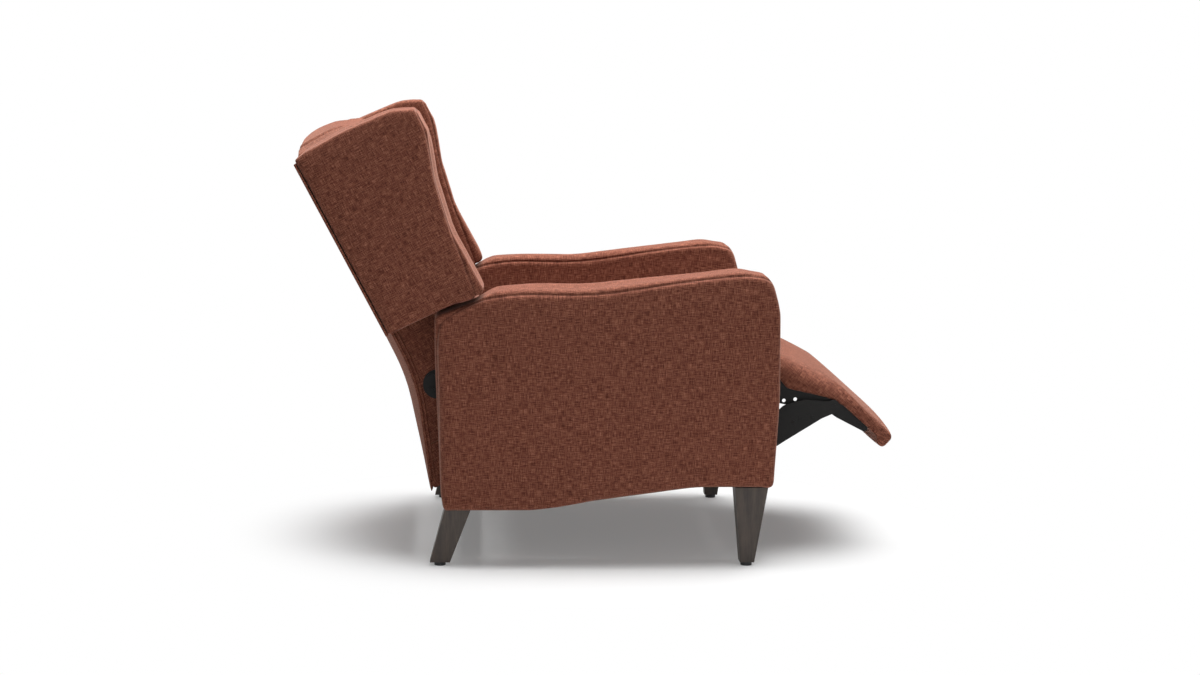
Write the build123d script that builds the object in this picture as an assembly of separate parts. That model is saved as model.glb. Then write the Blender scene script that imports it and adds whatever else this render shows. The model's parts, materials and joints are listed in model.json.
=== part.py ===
"""Push-back wing recliner, drawn reclined with its footrest open, in millimetres.

The chair faces +X, +Z is up and Y = 0 is its middle plane. Left pieces are drawn at +Y and mirrored.
The origin of the sizes below lies on the floor, midway between the front and rear feet.
At the end every piece is moved along X so that the middle of the whole chair stands at X = 0.
"""
import math
import os

from build123d import *

# Overall widths, measured from the middle plane.
ARM_OUTER = 381.0
ARM_THICK = 100.0
ARM_INNER = ARM_OUTER - ARM_THICK
ARM_CORE = 40.0
PLATE = 3.0
SLIDE_GAP = 4.0
LINK_GAP = 1.5
LINKAGE_ROOM = 29.0
BACK_GAP = 2.0
BRACKET_GAP = 1.2
FOOT_GAP = 2.0
CUSHION_GAP = 4.0
END_PLAY = 0.3
BASE_PLATE_Y = ARM_INNER - PLATE
SEAT_PLATE_Y = BASE_PLATE_Y - SLIDE_GAP - PLATE
CRANK_Y = SEAT_PLATE_Y - LINK_GAP - PLATE
LINK_Y = CRANK_Y - LINK_GAP - PLATE
INNER_HALF = ARM_INNER - LINKAGE_ROOM
SEAT_HALF = INNER_HALF - BACK_GAP
BRACKET_Y = SEAT_HALF + BRACKET_GAP
FOOT_HALF = LINK_Y - FOOT_GAP
WIDE_HALF = ARM_INNER - CUSHION_GAP
SIDE_COVER = 3.0
POST_WIDTH = 30.0

# Heights and lengths.
LEG_FRONT_TOP = 170.0
LEG_REAR_TOP = 124.0
GLIDE_HEIGHT = 8.0
GLIDE_RADIUS = 12.0
SEAT_DECK = 338.0
SEAT_TOP = 470.0
RAIL_HEIGHT = 62.0
RAIL_THICK = 25.0
SEAT_REAR = -204.0
FRAME_REAR = -176.0
FRAME_FRONT = 335.0
SEAT_NOSE = 388.0

# Pivots in the XZ plane.
BACK_PIVOT = (-150.0, 385.0)
GUIDE_PIN = (-165.0, 255.0)
FOOT_PIVOT = (SEAT_NOSE - 3.0, 440.0)
CRANK_PIVOT = (225.0, 347.0)
CRANK_REACH = (130.0, -115.0)
FOOT_JOINT = (FOOT_PIVOT[0] + CRANK_REACH[0], FOOT_PIVOT[1] + CRANK_REACH[1])
CRANK_TIP = (CRANK_PIVOT[0] + CRANK_REACH[0], CRANK_PIVOT[1] + CRANK_REACH[1])
ROLLERS = ((150.0, 310.0), (-100.0, 310.0))
SEAT_TRAVEL = (-70.0, -8.0)
BACK_TURN = 18.0

# Pins, rollers and screws.
PIN_RADIUS = 5.0
PIN_PLAY = 0.05
PIN_END = 1.5
ROLLER_RADIUS = 9.0
ROLLER_PIN = 4.0
SLOT_PLAY = 0.3
GUIDE_RADIUS = 6.0

# The back's own axes: U up its rear face, V forward, from the foot of the wing.
BACK_TILT = 27.8
BACK_ORIGIN = (-430.0, 495.0)
BACK_TOP = 392.0
PANEL = 5.0
TOP_BOW = 22.0
BEND_BOW = 35.0
END_BOW = 14.0
POST_DEPTH = 38.0
LOWER_BEND = 20.0
LOWER_RADIUS = 400.0
BEND_START = -58.0
WING_CORE = 20.0
WING_STUFFING = 43.0

# The footrest's own axes: W down its slope, N out of its face, from its pivot.
FOOT_SLOPE = 42.0
FOOT_BOARD = 12.0

# Seat springs: flat bends of wire between the rear and front rails.
SPRING_WIRE = 1.9
SPRING_COUNT = 4
SPRING_BENDS = 13
SPRING_PITCH = 110.0
SPRING_Z = SEAT_DECK - 10.0
CLIP = 6.0


def back_point(u, v):
    """Place in XZ of a point given on the back's own axes."""
    tilt = math.radians(BACK_TILT)
    x = BACK_ORIGIN[0] - u * math.sin(tilt) + v * math.cos(tilt)
    z = BACK_ORIGIN[1] + u * math.cos(tilt) + v * math.sin(tilt)
    return x, z


def foot_point(w, n):
    """Place in XZ of a point given on the footrest's own axes."""
    slope = math.radians(FOOT_SLOPE)
    x = FOOT_PIVOT[0] + w * math.cos(slope) + n * math.sin(slope)
    z = FOOT_PIVOT[1] - w * math.sin(slope) + n * math.cos(slope)
    return x, z


def axes_of(place, first, second):
    """Origin of a piece's own axes and two directions given on them."""
    origin, one, two = (Vector(x, 0, z) for x, z in (place(0, 0), place(*first), place(*second)))
    return origin, one - origin, two - origin


def seen_from(axes, corners):
    """Turn (a, b, radius) corners on a piece's own axes into (x, z, radius) corners."""
    return [(*axes(a, b), radius) for a, b, radius in corners]


def outline(corners, y=0.0):
    """Closed face in an XZ plane from (x, z, radius) corners, each rounded by its own radius."""
    bends = []
    for index, (x, z, radius) in enumerate(corners):
        here = Vector(x, y, z)
        before = (Vector(corners[index - 1][0], y, corners[index - 1][1]) - here).normalized()
        following = corners[(index + 1) % len(corners)]
        after = (Vector(following[0], y, following[1]) - here).normalized()
        half = math.acos(max(-1.0, min(1.0, before.dot(after)))) / 2
        cut = radius / math.tan(half)
        middle = here + (before + after).normalized() * (radius / math.sin(half) - radius)
        bends.append((here + before * cut, middle, here + after * cut, radius))
    edges = []
    for index, (start, middle, end, radius) in enumerate(bends):
        if radius:
            edges.append(Edge.make_three_point_arc(start, middle, end))
        edges.append(Edge.make_line(end, bends[(index + 1) % len(bends)][0]))
    return Face(Wire(edges))


def slab(corners, y_low, y_high):
    """Outline given thickness along Y."""
    return Solid.extrude(outline(corners, y_low), Vector(0, y_high - y_low, 0))


def plain(*points):
    """Corners without any rounding."""
    return [(x, z, 0.0) for x, z in points]


def rod(point, radius, y_low, y_high):
    """Cylinder along Y at a point of the XZ plane."""
    face = Plane(origin=(point[0], y_low, point[1]), x_dir=(1, 0, 0), z_dir=(0, 1, 0))
    return Solid.make_cylinder(radius, y_high - y_low, face)


def block(x, y, z):
    """Box between two limits on each axis."""
    corner = Plane(origin=(x[0], y[0], z[0]))
    return Solid.make_box(x[1] - x[0], y[1] - y[0], z[1] - z[0], corner)


def track(points, radius, y_low, y_high):
    """Space that a pin of the given radius sweeps on its way through the points."""
    shape = rod(points[0], radius, y_low, y_high)
    for (x0, z0), (x1, z1) in zip(points, points[1:]):
        length = math.hypot(x1 - x0, z1 - z0)
        side = (-(z1 - z0) / length * radius, (x1 - x0) / length * radius)
        ends = [(x0, z0, 1), (x1, z1, 1), (x1, z1, -1), (x0, z0, -1)]
        strip = plain(*[(x + sign * side[0], z + sign * side[1]) for x, z, sign in ends])
        shape = shape + slab(strip, y_low, y_high) + rod((x1, z1), radius, y_low, y_high)
    return shape


def turned(point, centre, degrees):
    """Point turned about a centre, clockwise as seen from the chair's right side."""
    angle = math.radians(degrees)
    x, z = point[0] - centre[0], point[1] - centre[1]
    return (
        centre[0] + x * math.cos(angle) + z * math.sin(angle),
        centre[1] - x * math.sin(angle) + z * math.cos(angle),
    )


def cut(shape, *tools):
    """Shape with the tools taken out of it one by one, as one solid."""
    for tool in tools:
        shape = shape.cut(tool)
    return shape.solid()


def both(left):
    """Left piece and its mirror image, as one node."""
    return Compound([*left.solids(), *mirror(left, about=Plane.XZ).solids()])


def pair(name, left):
    """Left piece and its mirror image, as two nodes."""
    return {f"{name}_left": left, f"{name}_right": mirror(left, about=Plane.XZ)}


# Arms, legs and the base that ties them together.
ARM_SHAPE = [
    (-313, LEG_REAR_TOP, 10),
    (-328, 530, 12),
    (-240, 564, 40),
    (-200, 585, 40),
    (-131, 590, 250),
    (-9, 589, 400),
    (134, 607, 500),
    (300, 627, 120),
    (366, 616, 34),
    (388, 540, 90),
    (390, 360, 600),
    (380, LEG_FRONT_TOP, 14),
    (215, LEG_FRONT_TOP, 350),
    (-120, LEG_REAR_TOP, 350),
]
ARM_ROLL = 16.0
CORE_SHAPE = [
    (-290, LEG_REAR_TOP, 0),
    (-298, 495, 10),
    (-240, 530, 20),
    (300, 585, 20),
    (355, 560, 20),
    (355, LEG_FRONT_TOP, 0),
    (215, LEG_FRONT_TOP, 350),
    (-120, LEG_REAR_TOP, 350),
]
CORE_WINDOW = [(-225, 270, 20), (-230, 445, 20), (280, 515, 20), (285, 270, 20)]
CLEAT = plain((-262, 136), (-262, 264), (130, 264), (130, 175), (-100, 140))
LEG_MID = ARM_INNER + ARM_THICK / 2
FRONT_LEG = ((297, 366, 26), (311, 341, 15))
REAR_LEG = ((-308, -253, 26), (-339, -297, 16))
BOLT_RADIUS = 4.0
BOLT_REACH = 45.0
FRONT_CROSS = ((70, 95), (168, 224))
REAR_CROSS = ((-250, -225), (150, 230))
PLATE_SHAPE = [
    (-298, 232, 20),
    (-298, 284, 20),
    (-200, 334, 20),
    (172, 334, 20),
    (172, 285, 20),
    (120, 172, 10),
    (-100, 145, 10),
    (-255, 145, 10),
]
PLATE_SCREWS = ((-190, 200), (-60, 200), (30, 205), (115, 240))
SCREW_RADIUS = 3.0
SCREW_HEAD = 6.5
SCREW_DEPTH = 24.0


def leg(top, foot, top_z):
    """Tapered wooden leg between its top and foot, each given as (x low, x high, half width)."""
    ends = []
    for (x_low, x_high, half), z in ((foot, GLIDE_HEIGHT), (top, top_z)):
        middle = Plane(origin=((x_low + x_high) / 2, LEG_MID, z))
        ends.append(Face(Wire.make_rect(x_high - x_low, 2 * half, middle)).outer_wire())
    return Solid.make_loft(ends, ruled=True)


def leg_bolt(top, top_z):
    """Bolt that holds a leg up against the arm's core."""
    foot = Plane(origin=((top[0] + top[1]) / 2, LEG_MID, top_z - BOLT_REACH))
    return Solid.make_cylinder(BOLT_RADIUS, 2 * BOLT_REACH, foot)


def glide(foot):
    """Round glide under a leg."""
    floor = Plane(origin=((foot[0] + foot[1]) / 2, LEG_MID, 0))
    return Solid.make_cylinder(GLIDE_RADIUS, GLIDE_HEIGHT, floor)


def guide_path(count=8):
    """Places that the back's guide pin passes on the base plate, from reclined to upright."""
    places = []
    for step in range(count + 1):
        share = step / count
        x, z = turned(GUIDE_PIN, BACK_PIVOT, BACK_TURN * share)
        places.append((x + SEAT_TRAVEL[0] * share, z + SEAT_TRAVEL[1] * share))
    return places


def base():
    """Arms with their cores, legs, cross rails and the slotted plates that carry the seat."""
    core_low = LEG_MID - ARM_CORE / 2
    core = slab(CORE_SHAPE, core_low, core_low + ARM_CORE) - slab(CORE_WINDOW, core_low, core_low + ARM_CORE)
    core = core + slab(CLEAT, ARM_INNER, core_low)
    pad = slab(ARM_SHAPE, ARM_INNER, ARM_OUTER)
    rims = [edge for edge in pad.edges() if abs(edge.center().Y - LEG_MID) > ARM_THICK / 2 - 1]
    upper = [edge for edge in rims if edge.center().Z > LEG_FRONT_TOP + ARM_ROLL]
    pad = fillet(upper, ARM_ROLL)
    front_bolt = leg_bolt(FRONT_LEG[0], LEG_FRONT_TOP)
    rear_bolt = leg_bolt(REAR_LEG[0], LEG_REAR_TOP)
    screws = []
    for spot in PLATE_SCREWS:
        shank = rod(spot, SCREW_RADIUS, BASE_PLATE_Y, ARM_INNER + SCREW_DEPTH)
        screws.append((shank + rod(spot, SCREW_HEAD, BASE_PLATE_Y - 2.5, BASE_PLATE_Y)).solid())
    plate = slab(PLATE_SHAPE, BASE_PLATE_Y, ARM_INNER)
    for x, z in ROLLERS:
        ends = [(x, z), (x + SEAT_TRAVEL[0], z + SEAT_TRAVEL[1])]
        plate = plate - track(ends, ROLLER_RADIUS + SLOT_PLAY, BASE_PLATE_Y - 1, ARM_INNER + 1)
    plate = plate - track(guide_path(), GUIDE_RADIUS + SLOT_PLAY, BASE_PLATE_Y - 1, ARM_INNER + 1)
    pad = cut(pad, core)
    core = cut(core, front_bolt, rear_bolt, *screws)
    return {
        **pair("arm_core", core),
        **pair("arm_pad", pad),
        **pair("front_leg", cut(leg(*FRONT_LEG, LEG_FRONT_TOP), front_bolt)),
        **pair("rear_leg", cut(leg(*REAR_LEG, LEG_REAR_TOP), rear_bolt)),
        "leg_bolts": both(Compound([front_bolt, rear_bolt])),
        "leg_glides": both(Compound([glide(FRONT_LEG[1]), glide(REAR_LEG[1])])),
        "front_cross_rail": block(FRONT_CROSS[0], (-BASE_PLATE_Y, BASE_PLATE_Y), FRONT_CROSS[1]),
        "rear_cross_rail": block(REAR_CROSS[0], (-BASE_PLATE_Y, BASE_PLATE_Y), REAR_CROSS[1]),
        **pair("base_plate", cut(plate, *screws)),
        "base_plate_screws": both(Compound(screws)),
    }


# Seat: side plates on rollers, a wooden frame with flat springs, and the cushion.
SEAT_PLATE_SHAPE = [
    (-172, 366, 18),
    (-172, 404, 18),
    (-130, 404, 18),
    (-95, 352, 40),
    (FOOT_PIVOT[0] - 47, 372, 30),
    (FOOT_PIVOT[0] - 16, FOOT_PIVOT[1] + 12, 12),
    (FOOT_PIVOT[0] + 12, FOOT_PIVOT[1] + 12, 11),
    (FOOT_PIVOT[0] + 12, FOOT_PIVOT[1] - 14, 12),
    (FOOT_PIVOT[0] - 13, 330, 40),
    (255, 312, 40),
    (170, 286, 20),
    (-125, 286, 20),
]
SEAT_BOLT_Z = SEAT_DECK - 30.0
SEAT_BOLTS = ((-60, SEAT_BOLT_Z), (118, SEAT_BOLT_Z))
SPACER_RADIUS = 11.0
BOLT_LOBE = 18.0
SIDE_RAIL = 30.0
NOSE_RISE = 10.0
CUSHION_SHAPE = [
    (SEAT_REAR, SEAT_DECK, 8),
    (SEAT_REAR, SEAT_TOP, 26),
    (60, SEAT_TOP - 2, 900),
    (SEAT_NOSE, SEAT_TOP + NOSE_RISE, 18),
    (SEAT_NOSE, SEAT_TOP - 22, 9),
    (SEAT_NOSE - 38, SEAT_TOP - 30, 14),
    (SEAT_NOSE - 48, SEAT_DECK, 8),
]
CUSHION_CROWN = 22.0
CUSHION_ROLL = 14.0
FRONT_BOW = 12.0
NOSE_DEPTH = 54.0
SHOULDER_RISE = 78.0
SHOULDER_X = (-120.0, SEAT_NOSE - NOSE_DEPTH)
SHOULDER_Z = SEAT_DECK + SHOULDER_RISE
FAR = 2000.0


def arched(plane, half, low, high, crown, roll=CUSHION_ROLL):
    """Long bar whose section, drawn on the plane across and up, has an arched top with soft corners."""
    place = plane.from_local_coords
    left, right = (-half, high, -FAR), (half, high, -FAR)
    edges = [
        Edge.make_three_point_arc(place(left), place((0, high + crown, -FAR)), place(right)),
        Edge.make_line(place(right), place((half, low, -FAR))),
        Edge.make_line(place((half, low, -FAR)), place((-half, low, -FAR))),
        Edge.make_line(place((-half, low, -FAR)), place(left)),
    ]
    bar = Solid.extrude(Face(Wire(edges)), plane.z_dir * 2 * FAR)
    corners = [place((-half, high, 0)), place((half, high, 0))]
    rims = [edge for edge in bar.edges() if min((edge.center() - corner).length for corner in corners) < 1]
    return fillet(rims, roll)


def spring_path(y):
    """Chain of half circles, bending to either side, from the rear clip to the front one."""
    rear = FRAME_REAR + RAIL_THICK + CLIP + SPRING_WIRE
    front = FRAME_FRONT - RAIL_THICK - CLIP - SPRING_WIRE
    bend = (front - rear) / SPRING_BENDS / 2
    arcs = []
    for index in range(SPRING_BENDS):
        x = rear + 2 * bend * index
        side = bend if index % 2 else -bend
        ends = (x, y, SPRING_Z), (x + bend, y + side, SPRING_Z), (x + 2 * bend, y, SPRING_Z)
        arcs.append(Edge.make_three_point_arc(*ends))
    return Wire(arcs)


def spring(y):
    """Flat spring as one unbroken wire."""
    path = spring_path(y)
    section = Plane(origin=path @ 0, z_dir=path % 0)
    return Solid.sweep(Face(Wire.make_circle(SPRING_WIRE, section)), path)


def spring_rows():
    """Places across the seat of the springs."""
    return [(index - (SPRING_COUNT - 1) / 2) * SPRING_PITCH for index in range(SPRING_COUNT)]


def clips():
    """Blocks on the rails' inner faces that hold both ends of each spring."""
    rear = FRAME_REAR + RAIL_THICK
    front = FRAME_FRONT - RAIL_THICK
    depth = (SPRING_Z - CLIP, SPRING_Z + CLIP)
    found = []
    for y in spring_rows():
        for x in ((rear, rear + CLIP), (front - CLIP, front)):
            found.append(block(x, (y - 2 * CLIP, y + 2 * CLIP), depth))
    return Compound(found)


def pin(point, y_low, y_high, collar=None):
    """Pivot pin along Y, with an optional collar that keeps two plates apart."""
    shape = rod(point, PIN_RADIUS - PIN_PLAY, y_low, y_high)
    if collar:
        shape = shape + rod(point, PIN_RADIUS + 4, *collar)
    return shape.solid()


def seat():
    """Side plates, rollers, wooden frame, springs and cushion that glide as one."""
    outer = SEAT_PLATE_Y + PLATE
    frame_z = (SEAT_DECK - RAIL_HEIGHT, SEAT_DECK)
    inside = SEAT_HALF - SIDE_RAIL
    plate = slab(SEAT_PLATE_SHAPE, SEAT_PLATE_Y, outer)
    for spot in SEAT_BOLTS:
        plate = plate + rod(spot, BOLT_LOBE, SEAT_PLATE_Y, outer)
    pivots = (BACK_PIVOT, FOOT_PIVOT, CRANK_PIVOT)
    holes = [rod(spot, PIN_RADIUS, SEAT_PLATE_Y - 1, outer + 1) for spot in pivots]
    pins = [rod(spot, ROLLER_PIN, SEAT_PLATE_Y, ARM_INNER - END_PLAY) for spot in ROLLERS]
    wheels = [
        cut(
            rod(spot, ROLLER_RADIUS, outer + END_PLAY, ARM_INNER - END_PLAY),
            rod(spot, ROLLER_PIN + PIN_PLAY, outer, ARM_INNER),
        )
        for spot in ROLLERS
    ]
    bolts = []
    spacers = []
    for spot in SEAT_BOLTS:
        shank = rod(spot, BOLT_RADIUS, SEAT_HALF - SIDE_RAIL + 4, outer)
        bolts.append((shank + rod(spot, 2 * BOLT_RADIUS, outer, outer + 2.5)).solid())
        spacers.append(cut(rod(spot, SPACER_RADIUS, SEAT_HALF, SEAT_PLATE_Y), shank))
    rail = cut(block((FRAME_REAR, FRAME_FRONT), (inside, SEAT_HALF), frame_z), *bolts)
    over = Plane(origin=(0, 0, 0), x_dir=(0, 1, 0), z_dir=(1, 0, 0))
    ahead = Plane(origin=(0, 0, 0), x_dir=(0, -1, 0), z_dir=(0, 0, 1))
    cushion = slab(CUSHION_SHAPE, -WIDE_HALF, WIDE_HALF)
    cushion = cushion & arched(over, WIDE_HALF, 0, SEAT_TOP + NOSE_RISE - CUSHION_CROWN, CUSHION_CROWN)
    cushion = cushion & arched(ahead, WIDE_HALF, -FAR, SEAT_NOSE - FRONT_BOW, FRONT_BOW)
    for low, high in ((SEAT_HALF, FAR), (-FAR, -SEAT_HALF)):
        cushion = cut(
            cushion,
            block((-FAR, FAR), (low, high), (0, SHOULDER_Z)),
            block((-FAR, SHOULDER_X[0]), (low, high), (SHOULDER_Z, FAR)),
            block((SHOULDER_X[1], FAR), (low, high), (SHOULDER_Z, FAR)),
        )
    return {
        **pair("seat_plate", cut(plate, *holes, *pins, *bolts)),
        "seat_roller_pins": both(Compound(pins)),
        "seat_rollers": both(Compound(wheels)),
        "seat_spacers": both(Compound(spacers)),
        "seat_bolts": both(Compound(bolts)),
        **pair("seat_side_rail", rail),
        "seat_front_rail": block((FRAME_FRONT - RAIL_THICK, FRAME_FRONT), (-inside, inside), frame_z),
        "seat_rear_rail": block((FRAME_REAR, FRAME_REAR + RAIL_THICK), (-inside, inside), frame_z),
        "seat_springs": Compound([spring(y) for y in spring_rows()]),
        "spring_clips": clips(),
        "seat_cushion": cushion,
    }


# Back: posts, rails and webbing, a bowed outer panel, the wings and the cushion.
def lower_bend(v, u_end):
    """Corners of a line that runs at V down the back and follows its bend to the lower end."""
    turn = math.radians(LOWER_BEND)
    tangent = LOWER_RADIUS * math.tan(turn / 2)
    u_bend = BEND_START - tangent + v * math.tan(turn / 2)
    slope = math.tan(turn)
    return [(u_bend, v, LOWER_RADIUS - v), (u_end, v + slope * (u_end - u_bend), 0)]


PANEL_END = -358.0
POST_END = -335.0
POST_LOW = PANEL
POST_HIGH = PANEL + POST_DEPTH
BACK_RAILS = {"top": (BACK_TOP - 42, BACK_TOP), "middle": (30, 75)}
BOTTOM_RAIL = (-325.0, -285.0)
BOTTOM_DEPTH = 25.0
WEBBING = (50.0, 2.0)
WEBBING_ROWS = (-90, 0, 110, 190, 270)
WING_SHAPE = [
    (-7, PANEL, 4),
    (401, PANEL, 3),
    (406, 30, 20),
    (407, 120, 150),
    (398, 228, 25),
    (377, 275, 16),
    (328, 275, 25),
    (232, 243, 200),
    (119, 222, 250),
    (-20, 225, 10),
    (-22, 190, 8),
    (-13, 150, 8),
]
WING_INNER = ARM_INNER - 1.0
WING_ROLL = 7.0
WING_CORE_SHAPE = [
    (20, 24, 10),
    (385, 24, 10),
    (385, 180, 30),
    (350, 240, 20),
    (150, 205, 60),
    (20, 190, 20),
]
WING_ARMS = ((90, 130), (300, 345))
LUMBAR = 192.0
PILLOW_TOP = BACK_TOP + 45.0
BACK_SHAPE = [
    (-150, POST_HIGH, 4),
    (-150, 146, 24),
    (-70, LUMBAR - 6, 60),
    (70, LUMBAR + 4, 160),
    (300, LUMBAR - 34, 200),
    (BACK_TOP + 12, LUMBAR - 50, 60),
    (PILLOW_TOP, 84, 40),
    (PILLOW_TOP, 22, 30),
    (BACK_TOP, -4, 4),
    (BACK_TOP, POST_HIGH, 0),
]
BACK_CROWN = 24.0
PILLOW_CROWN = 30.0
BACK_STEP = -60.0
COVER_TOP = -8.0
COVER_REACH = 96.0
COVER_END = -356.0
COVER_FOOT = -326.0
COVER_TAIL = 19.0
COVER_SLIT = (-267.0, -265.4)
SLIT_START = 40.0
COVER_KNEE = (-222.0, 40.0)
COVER_WAIST = (-150.0, 84.0)
WING_FOOT = -6.0
BRACKET_SHAPE = [
    (-354, 341, 29),
    (-354, 402, 29),
    (-131, 405, 18),
    (-131, 362, 18),
    (-148, 300, 30),
    (-149, 240, 15),
    (-181, 240, 15),
    (-186, 320, 20),
    (-230, 341, 40),
]
BRACKET_BOLTS = ((-337, 357), (-337, 387))


def back_slab(corners, y_low, y_high):
    """Slab drawn on the back's own axes."""
    return slab(seen_from(back_point, corners), y_low, y_high)


def back_bar(u, v, y):
    """Straight bar between two limits on each of the back's axes and along Y."""
    return back_slab(plain((u[0], v[0]), (u[1], v[0]), (u[1], v[1]), (u[0], v[1])), *y)


def panel_section(y, share):
    """Section of the outer panel across Y, its rear face bowed out by a share of its full bow."""
    bend, end = lower_bend(-BEND_BOW * share, PANEL_END)
    rear = [(BACK_TOP, -TOP_BOW * share, 0), bend, (end[0], end[1] + (BEND_BOW - END_BOW) * share, 0)]
    face = [*reversed(lower_bend(PANEL, PANEL_END + 4)), (BACK_TOP, PANEL, 0)]
    return outline(seen_from(back_point, [*rear, *face]), y).outer_wire()


def outer_panel():
    """Outer back, bowed between the posts, with flat sides behind the wings."""
    sections = [panel_section(y * INNER_HALF, share) for y, share in ((-1, 0.0), (0, 1.0), (1, 0.0))]
    side = back_bar((WING_FOOT, BACK_TOP), (0, PANEL), (INNER_HALF, ARM_OUTER - WING_ROLL / 2))
    return (Solid.make_loft(sections) + side + mirror(side, about=Plane.XZ)).solid()


def side_cover():
    """Thin cover on the side of the back below the wings, slit near its foot."""
    bend, end = lower_bend(PANEL, COVER_END)
    foot = lower_bend(POST_HIGH + 3, COVER_FOOT)[1]
    front = [
        (end[0] + 2, end[1] + COVER_TAIL, 8),
        (foot[0], foot[1], 10),
        (COVER_KNEE[0], foot[1] + COVER_KNEE[1], 20),
        (*COVER_WAIST, 30),
        (COVER_TOP, COVER_REACH, 8),
    ]
    shape = [(COVER_TOP, PANEL, 0), bend, (end[0], end[1], 6), *front]
    cover = back_slab(shape, INNER_HALF - SIDE_COVER, INNER_HALF)
    slit_v = (end[1] + SLIT_START, FAR)
    return cut(cover, back_bar(COVER_SLIT, slit_v, (INNER_HALF - SIDE_COVER - 1, INNER_HALF + 1)))


def back():
    """Frame, covers, wings and cushion that tip as one about the seat's rear pivots."""
    post_y = (INNER_HALF - SIDE_COVER - POST_WIDTH, INNER_HALF - SIDE_COVER)
    post_rear = [(BACK_TOP, POST_LOW, 0), *lower_bend(POST_LOW, POST_END)]
    post_front = [*reversed(lower_bend(POST_HIGH, POST_END + 14)), (BACK_TOP, POST_HIGH, 0)]
    post = back_slab([*post_rear, *post_front], *post_y)
    rail_y = (-post_y[0], post_y[0])
    bend = lower_bend(POST_LOW, BOTTOM_RAIL[1])[1]
    bottom = lower_bend(POST_LOW, BOTTOM_RAIL[0])[1]
    lift = math.tan(math.radians(LOWER_BEND))
    bottom_rail = [
        (bottom[0], bottom[1], 0),
        (bend[0], bend[1], 0),
        (bend[0] - BOTTOM_DEPTH * lift, bend[1] + BOTTOM_DEPTH, 0),
        (bottom[0] - BOTTOM_DEPTH * lift, bottom[1] + BOTTOM_DEPTH, 0),
    ]
    webbing = [
        back_bar((u, u + WEBBING[0]), (POST_HIGH - 2 * WEBBING[1], POST_HIGH - WEBBING[1]), rail_y)
        for u in WEBBING_ROWS
    ]
    core_y = ARM_OUTER - WING_STUFFING - WING_CORE
    wing_core = back_slab(WING_CORE_SHAPE, core_y, core_y + WING_CORE)
    for u in WING_ARMS:
        wing_core = wing_core + back_bar(u, (24, POST_HIGH - 2), (post_y[1], core_y))
    wing = back_slab(WING_SHAPE, WING_INNER, ARM_OUTER)
    middle = (WING_INNER + ARM_OUTER) / 2
    reach = (ARM_OUTER - WING_INNER) / 2 - 1
    rims = [edge for edge in wing.edges() if abs(edge.center().Y - middle) > reach]
    wing = cut(fillet(rims, WING_ROLL), wing_core)
    origin, ahead, above = axes_of(back_point, (0, 1), (1, 0))
    cushion = back_slab(BACK_SHAPE, -WIDE_HALF, WIDE_HALF)
    face = Plane(origin, x_dir=(0, 1, 0), z_dir=Vector(0, 1, 0).cross(ahead))
    cushion = cushion & arched(face, WIDE_HALF, -FAR, LUMBAR - BACK_CROWN, BACK_CROWN)
    crest = Plane(origin, x_dir=(0, 1, 0), z_dir=Vector(0, 1, 0).cross(above))
    cushion = cushion & arched(crest, WIDE_HALF, -FAR, PILLOW_TOP - PILLOW_CROWN, PILLOW_CROWN)
    for step in ((BACK_STEP, FAR), (COVER_TOP + 1, COVER_REACH + 2)):
        below = back_bar((-FAR, step[0]), (-FAR, step[1]), (INNER_HALF - SIDE_COVER, FAR))
        cushion = cut(cushion, below, mirror(below, about=Plane.XZ))
    bracket_y = (INNER_HALF, INNER_HALF + PLATE)
    bracket = slab(BRACKET_SHAPE, *bracket_y)
    seat_outer = SEAT_PLATE_Y + PLATE
    pivot = pin(BACK_PIVOT, bracket_y[0], seat_outer + PIN_END, (bracket_y[1], SEAT_PLATE_Y - END_PLAY))
    guide = rod(GUIDE_PIN, GUIDE_RADIUS, bracket_y[0], ARM_INNER - END_PLAY)
    bolts = []
    for spot in BRACKET_BOLTS:
        shank = rod(spot, BOLT_RADIUS, post_y[0] + 4, bracket_y[1])
        bolts.append((shank + rod(spot, 2 * BOLT_RADIUS, bracket_y[1], bracket_y[1] + 3)).solid())
    return {
        **pair("back_post", cut(post, *bolts)),
        "back_top_rail": back_bar(BACK_RAILS["top"], (POST_LOW, POST_HIGH), rail_y),
        "back_middle_rail": back_bar(BACK_RAILS["middle"], (POST_LOW, POST_HIGH - 14), rail_y),
        "back_bottom_rail": back_slab(bottom_rail, *rail_y),
        "back_webbing": Compound(webbing),
        **pair("back_side_cover", cut(side_cover(), *bolts)),
        "outer_back_panel": outer_panel(),
        **pair("wing_core", wing_core),
        **pair("wing_pad", wing),
        "back_cushion": cushion,
        **pair("back_bracket", cut(bracket, pivot, guide, *bolts)),
        "back_pivot_pins": both(pivot),
        "back_guide_pins": both(guide),
        "bracket_bolts": both(Compound(bolts)),
    }


# Footrest: a board with a stuffed pad on brackets, pushed out by cranks and links.
BOARD_LOW = 16.0
BOARD_W = (124.0, 292.0)
BOARD_INSET = 30.0
BOARD_HALF = FOOT_HALF - BOARD_INSET
PAD_TOP = 49.0
PAD_CROWN = 5.0
PAD_TOE = 325.0
TOE_BOW = 8.0
HEAD_EDGE = (52.0, 14.0)
HEAD_TILT = 15.0
HEAD_CROWN = 14.0
HEAD_ROLL = 36.0
PAD_SHAPE = [
    (-4, -4, 8),
    (2, 19, 16),
    (60, 29, 60),
    (130, PAD_TOP, 100),
    (PAD_TOE - 25, PAD_TOP, 26),
    (PAD_TOE + 2, 24, 16),
    (PAD_TOE - 18, -2, 14),
    (PAD_TOE - 41, BOARD_LOW, 8),
    (190, BOARD_LOW, 30),
    (150, 5, 60),
    (74, -38, 18),
    (26, -28, 22),
]
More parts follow.
